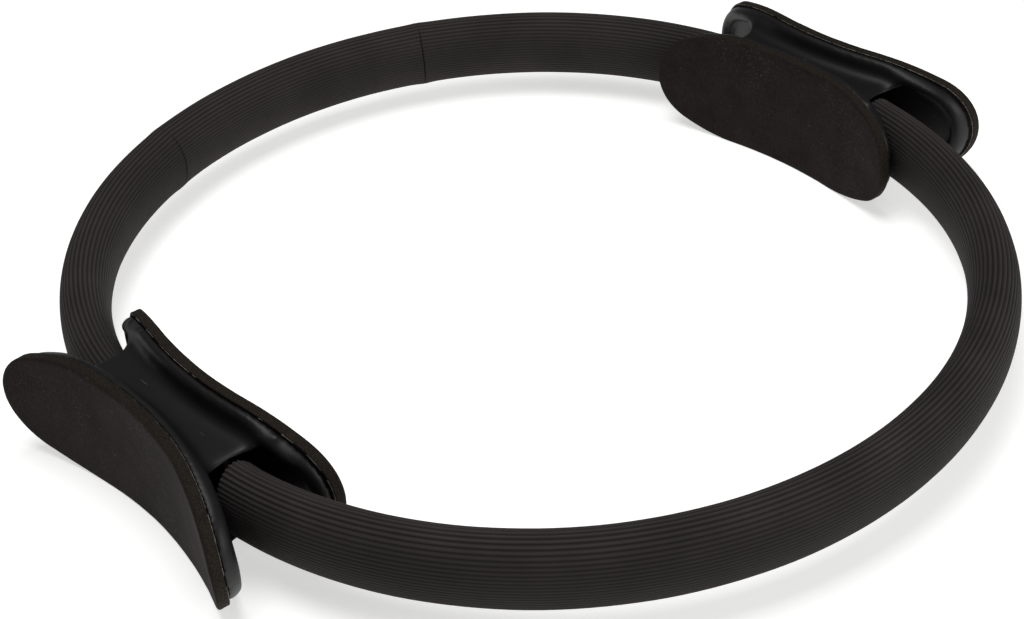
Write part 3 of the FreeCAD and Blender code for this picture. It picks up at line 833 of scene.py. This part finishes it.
def glue_tree():
    tree, sizes, out = sized_tree("glue_bead", {
        "Edge": "Geometry", "Radius": "Float", "Gap Share": "Float", "Material": "Material"})
    broken = add(tree, "ShaderNodeTexNoise", {"Scale": per_mm(GLUE_STRETCH_MM), "Detail": 3.0})
    missing = add(tree, MATH, (broken, sizes["Gap Share"]), operation="LESS_THAN")
    edge = add(tree, "GeometryNodeDeleteGeometry", {"Geometry": sizes["Edge"], "Selection": missing})
    lumps = add(tree, "ShaderNodeTexNoise", {"Scale": per_mm(GLUE_LUMP_MM), "Detail": 2.0})
    radius = add(tree, MATH, (lumps, GLUE_LUMP_SHARE, GLUE_THINNEST_SHARE), operation="MULTIPLY_ADD")
    radius = add(tree, MATH, (radius, sizes["Radius"]), operation="MULTIPLY")
    line = add(tree, "GeometryNodeMeshToCurve", {"Mesh": edge})
    section = add(tree, "GeometryNodeCurvePrimitiveCircle", {"Resolution": GLUE_SIDES, "Radius": 1.0})
    bead = add(tree, "GeometryNodeCurveToMesh", {
        "Curve": line, "Profile Curve": section.outputs["Curve"], "Scale": radius, "Fill Caps": True})
    bead = add(tree, "GeometryNodeSetShadeSmooth", {"Geometry": bead})
    bead = add(tree, "GeometryNodeRealizeInstances", (bead,))
    bead = add(tree, "GeometryNodeSetMaterial", {"Geometry": bead, "Material": sizes["Material"]})
    tree.links.new(bead.outputs[0], out["Geometry"])
    return tree


glue_bead = glue_tree()
print(glue_bead.name, "has", len(glue_bead.nodes), "nodes")

# %% The glue lines
GLUE_RADIUS = 0.19 * MM
GLUE_GAP_SHARES = {"outer": 0.36, "inner": 0.47}

for node in PADS:
    edge = bent(node, pad_outline(node), PAD_THICKNESS)
    mesh = bpy.data.meshes.new(node + "_glue")
    mesh.from_pydata(edge.tolist(), [(i, (i + 1) % len(edge)) for i in range(len(edge))], [])
    piece = grown(node + "_glue", glue_bead, {
        "Radius": GLUE_RADIUS, "Gap Share": GLUE_GAP_SHARES[node.split("_")[1]],
        "Material": contact_glue}, mesh)
    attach(piece, node.split("_")[0] + "_handle")
    print(piece.name, len(piece.data.polygons), "faces")

# %% [markdown]
# ## Saddles: the finish
# The handles are injection-moulded polypropylene: black, with the faint satin of a
# spark-eroded mould, so that highlights are broad and soft. Handling leaves a few hair
# scratches that catch the light.

# %% Moulded polypropylene


def moulded_polypropylene():
    material, tree, shader, place = finish_of(
        "moulded_polypropylene", Specular_IOR_Level=0.35, IOR=1.49)
    cloud = add(tree, "ShaderNodeTexNoise", {"Vector": place, "Scale": per_mm(18), "Detail": 3.0})
    tone = add(tree, "ShaderNodeValToRGB", {"Fac": cloud})
    tone.color_ramp.elements[0].color = colour("#090909")
    tone.color_ramp.elements[1].color = colour("#101010")

    # scratches: finer than a hair on the real handle, drawn at 0.6 mm so that they show
    drawn = add(tree, "ShaderNodeMapping", {
        "Vector": place, "Rotation": (0.2, 0.7, 0.4), "Scale": (1.0, 0.06, 1.0)})
    scratch = add(tree, "ShaderNodeTexNoise", {"Vector": drawn, "Scale": per_mm(0.6), "Detail": 1.0})
    scratch = add(tree, "ShaderNodeMapRange", {
        "Value": scratch, "From Min": 0.78, "From Max": 0.82, "To Max": 0.25})
    marked = add(tree, "ShaderNodeMix", {0: scratch, 6: tone, 7: colour("#9a9a9a")}, data_type="RGBA")
    tree.links.new(marked.outputs[2], shader.inputs["Base Color"])

    # satin: a sheen that varies a little, over a grain that is drawn coarser than the mould's
    sheen = add(tree, "ShaderNodeMapRange", {"Value": cloud, "To Min": 0.42, "To Max": 0.5})
    tree.links.new(sheen.outputs[0], shader.inputs["Roughness"])
    grain = add(tree, "ShaderNodeTexNoise", {"Vector": place, "Scale": per_mm(0.55), "Detail": 2.0})
    bump = add(tree, "ShaderNodeBump", {"Strength": 0.08, "Distance": 0.06 * MM, "Height": grain})
    tree.links.new(bump.outputs["Normal"], shader.inputs["Normal"])
    return material


polypropylene = moulded_polypropylene()
print("made", polypropylene.name)

# %% [markdown]
# ## Saddles: the shape
# The solid has the right form, but its lips are sharp, and a moulding's never are. A
# bevel can't follow edges where so many curves meet. So a copy of the solid is treated
# like clay: beads thicken the wings' rims at the mouths, webs fill the corners where a
# mouth's lip swings up into a rim, and all of it is rebuilt from small voxels and
# smoothed, most on the inside, where the wings run into the hub.

# %% Clay for the rims
WING_THICKNESS = 3.8 * MM
RIM_EXTRA = 1.7 * MM
RIM_INSETS = (1.4 * MM, 5.0 * MM)
RIM_START, RIM_GROWN = 26.0 * MM, 46.0 * MM
# heights where a bead starts and is full: on the outer wings it runs all round the mouth
RIM_HEIGHTS = {"outer": (-2.0 * MM, -1.0 * MM), "inner": (10.0 * MM, 20.0 * MM)}
OVERLAP = 2.0 * MM
wing_inside = PAD_THICKNESS + WING_THICKNESS


def rim_clay(pad):
    """A bead inside a wing's rim at each mouth. An inner wing's leaves room for the sleeve to swing."""
    outline = pad_outline(pad)
    rise = 1.0
    limits = (RIM_START, RIM_GROWN), RIM_HEIGHTS[pad.split("_")[1]]
    for along, (start, full) in zip(outline.T, limits):
        share = np.clip((np.abs(along) - start) / (full - start), 0, 1)
        rise = rise * share * share * (3 - 2 * share)
    deep = wing_inside - OVERLAP / 2 + rise * (RIM_EXTRA + OVERLAP / 2)
    shallow = np.full(len(outline), wing_inside - OVERLAP)
    edge, inner = [inset_outline(pad, inset) for inset in RIM_INSETS]
    loops = [bent(pad, points, depths) for points, depths in (
        (edge, shallow), (edge, deep), (inner, deep), (inner, shallow))]
    return np.concatenate(loops), ring_faces(len(loops), len(outline), closed=True)


for pad in PADS:
    print(pad, "has a rim bead of", len(rim_clay(pad)[1]), "faces")

# %% Clay for the corners
HUB_HALF_LENGTH = 38.5 * MM
HUB_HALF_HEIGHT = 17.0 * MM
VALLEY_RADIUS = 5.0 * MM
CORNER_RADIUS = 8.0 * MM
WEB_THICKNESS = 2.2 * MM
WEB_ROWS, WEB_COLUMNS = 9, 12


def corner_clay(pad, along, up):
    """A web in one corner of a mouth, whose edge is a quarter circle seen from above."""
    away = np.linspace(-OVERLAP, CORNER_RADIUS, WEB_COLUMNS)
    off_wing = np.clip(away, 0, None)
    free = CORNER_RADIUS - np.sqrt(CORNER_RADIUS ** 2 - (CORNER_RADIUS - off_wing) ** 2)
    slope = np.clip(VALLEY_RADIUS - off_wing, 0, None)
    crown = HUB_HALF_HEIGHT + VALLEY_RADIUS - np.sqrt(VALLEY_RADIUS ** 2 - slope ** 2)
    steps = np.linspace(0, 1, WEB_ROWS)
    y = along * (HUB_HALF_LENGTH - OVERLAP + steps[:, None] * (OVERLAP + free))
    depths = np.broadcast_to(wing_inside + away, y.shape).ravel()
    layers = []
    for drop in (0.0, WEB_THICKNESS):
        z = np.broadcast_to(up * (crown - drop), y.shape)
        layers.append(bent(pad, np.stack([y.ravel(), z.ravel()], 1), depths))
    index = np.arange(y.size).reshape(y.shape)
    rim = np.concatenate([index[0, :-1], index[:-1, -1], index[-1, :0:-1], index[:0:-1, 0]])
    sheet = np.stack([index[:-1, :-1], index[:-1, 1:], index[1:, 1:], index[1:, :-1]], -1)
    sheet = sheet.reshape(-1, 4)
    after = np.roll(rim, -1)
    walls = np.stack([rim, after, after + y.size, rim + y.size], 1)
    return np.concatenate(layers), np.concatenate([sheet, sheet + y.size, walls]).tolist()


print("each corner's web has", len(corner_clay(PADS[0], 1, 1)[1]), "faces")

# %% The saddles
SOLID_WELD = 0.005 * MM
VOXEL = 0.7 * MM
SKIN_DEPTH = 2.4 * MM
INSIDE_STEPS = 28
SOFTENING_STEPS = 4
SMOOTHING_SHARE = 0.5


def depth_below(pad, points):
    """How deep points lie below a pad's face."""
    lies = pad_frame(pad)
    return np.hypot(points[:, 0] - lies.axis, points[:, 1]) - lies.radius


def clay_copy(node, pads):
    """A copy of a saddle's solid with beads and webs of clay, rebuilt from voxels."""
    mesh = nodes[node].data.copy()
    shape = bmesh.new()
    shape.from_mesh(mesh)
    bmesh.ops.remove_doubles(shape, verts=shape.verts, dist=SOLID_WELD)
    lumps = [rim_clay(pad) for pad in pads]
    lumps += [corner_clay(pad, along, up) for pad in pads for along in (-1, 1) for up in (-1, 1)]
    for points, faces in lumps:
        placed = [shape.verts.new(point) for point in points]
        made = [shape.faces.new([placed[i] for i in face]) for face in faces]
        bmesh.ops.recalc_face_normals(shape, faces=made)
    shape.to_mesh(mesh)
    shape.free()
    piece = bpy.data.objects.new(node + "_moulding", mesh)
    scene.collection.objects.link(piece)
    voxels = piece.modifiers.new("voxels", "REMESH")
    voxels.mode, voxels.voxel_size = "VOXEL", VOXEL
    return applied(piece)


def smooth_clay(piece, pads):
    """Smooth a saddle's inside, where it lies deep below both pads, and then a little all over."""
    mesh = piece.data
    points = np.array([vert.co for vert in mesh.vertices])
    inside = np.minimum(*[depth_below(pad, points) for pad in pads]) > PAD_THICKNESS + SKIN_DEPTH
    shape = bmesh.new()
    shape.from_mesh(mesh)
    shape.verts.ensure_lookup_table()
    soft = [shape.verts[i] for i in np.flatnonzero(inside)]
    for verts, steps in ((soft, INSIDE_STEPS), (shape.verts[:], SOFTENING_STEPS)):
        for _ in range(steps):
            bmesh.ops.smooth_vert(shape, verts=verts, factor=SMOOTHING_SHARE,
                                  use_axis_x=True, use_axis_y=True, use_axis_z=True)
    shape.to_mesh(mesh)
    shape.free()
    mesh.materials.clear()
    mesh.materials.append(polypropylene)
    mesh.shade_smooth()


for side in ("left", "right"):
    pads = side + "_outer_pad", side + "_inner_pad"
    piece = clay_copy(side + "_saddle", pads)
    smooth_clay(piece, pads)
    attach(piece, side + "_handle")
    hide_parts(side + "_saddle")
    print(piece.name, len(piece.data.polygons), "faces")

# %% [markdown]
# ## Springs and screws
# Inside the ring, the flat springs are rolled and hardened steel, grey with streaks
# along the strip. The screws are zinc plated, paler, with the faint yellow bloom that
# passivation leaves. Their solids have the right shape, so they only get a finish.

# %% Steel and zinc


def rolled_steel():
    material, tree, shader, place = finish_of("rolled_spring_steel", Metallic=1.0)
    along = add(tree, "ShaderNodeMapping", {"Vector": place, "Scale": (0.03, 0.03, 1.0)})
    streaks = add(tree, "ShaderNodeTexNoise", {"Vector": along, "Scale": per_mm(0.4), "Detail": 4.0})
    tone = add(tree, "ShaderNodeValToRGB", {"Fac": streaks})
    tone.color_ramp.elements[0].color = colour("#4b4d50")
    tone.color_ramp.elements[1].color = colour("#7c7e80")
    tree.links.new(tone.outputs["Color"], shader.inputs["Base Color"])
    sheen = add(tree, "ShaderNodeMapRange", {"Value": streaks, "To Min": 0.25, "To Max": 0.5})
    tree.links.new(sheen.outputs[0], shader.inputs["Roughness"])
    return material


def zinc_plate():
    material, tree, shader, place = finish_of("passivated_zinc_plate", Metallic=1.0)
    bloom = add(tree, "ShaderNodeTexNoise", {"Vector": place, "Scale": per_mm(2.5), "Detail": 3.0})
    tone = add(tree, "ShaderNodeValToRGB", {"Fac": bloom})
    tone.color_ramp.elements[0].color = colour("#b4b6b8")
    tone.color_ramp.elements[1].color = colour("#c8c0a0")
    tree.links.new(tone.outputs["Color"], shader.inputs["Base Color"])
    sheen = add(tree, "ShaderNodeMapRange", {"Value": bloom, "To Min": 0.22, "To Max": 0.4})
    tree.links.new(sheen.outputs[0], shader.inputs["Roughness"])
    return material


steel, zinc = rolled_steel(), zinc_plate()
for name, solid in nodes.items():
    if "spring" in name:
        for material_slot in solid.material_slots:
            material_slot.material = zinc if name.endswith("screws") else steel
print("finished the springs in", steel.name, "and the screws in", zinc.name)
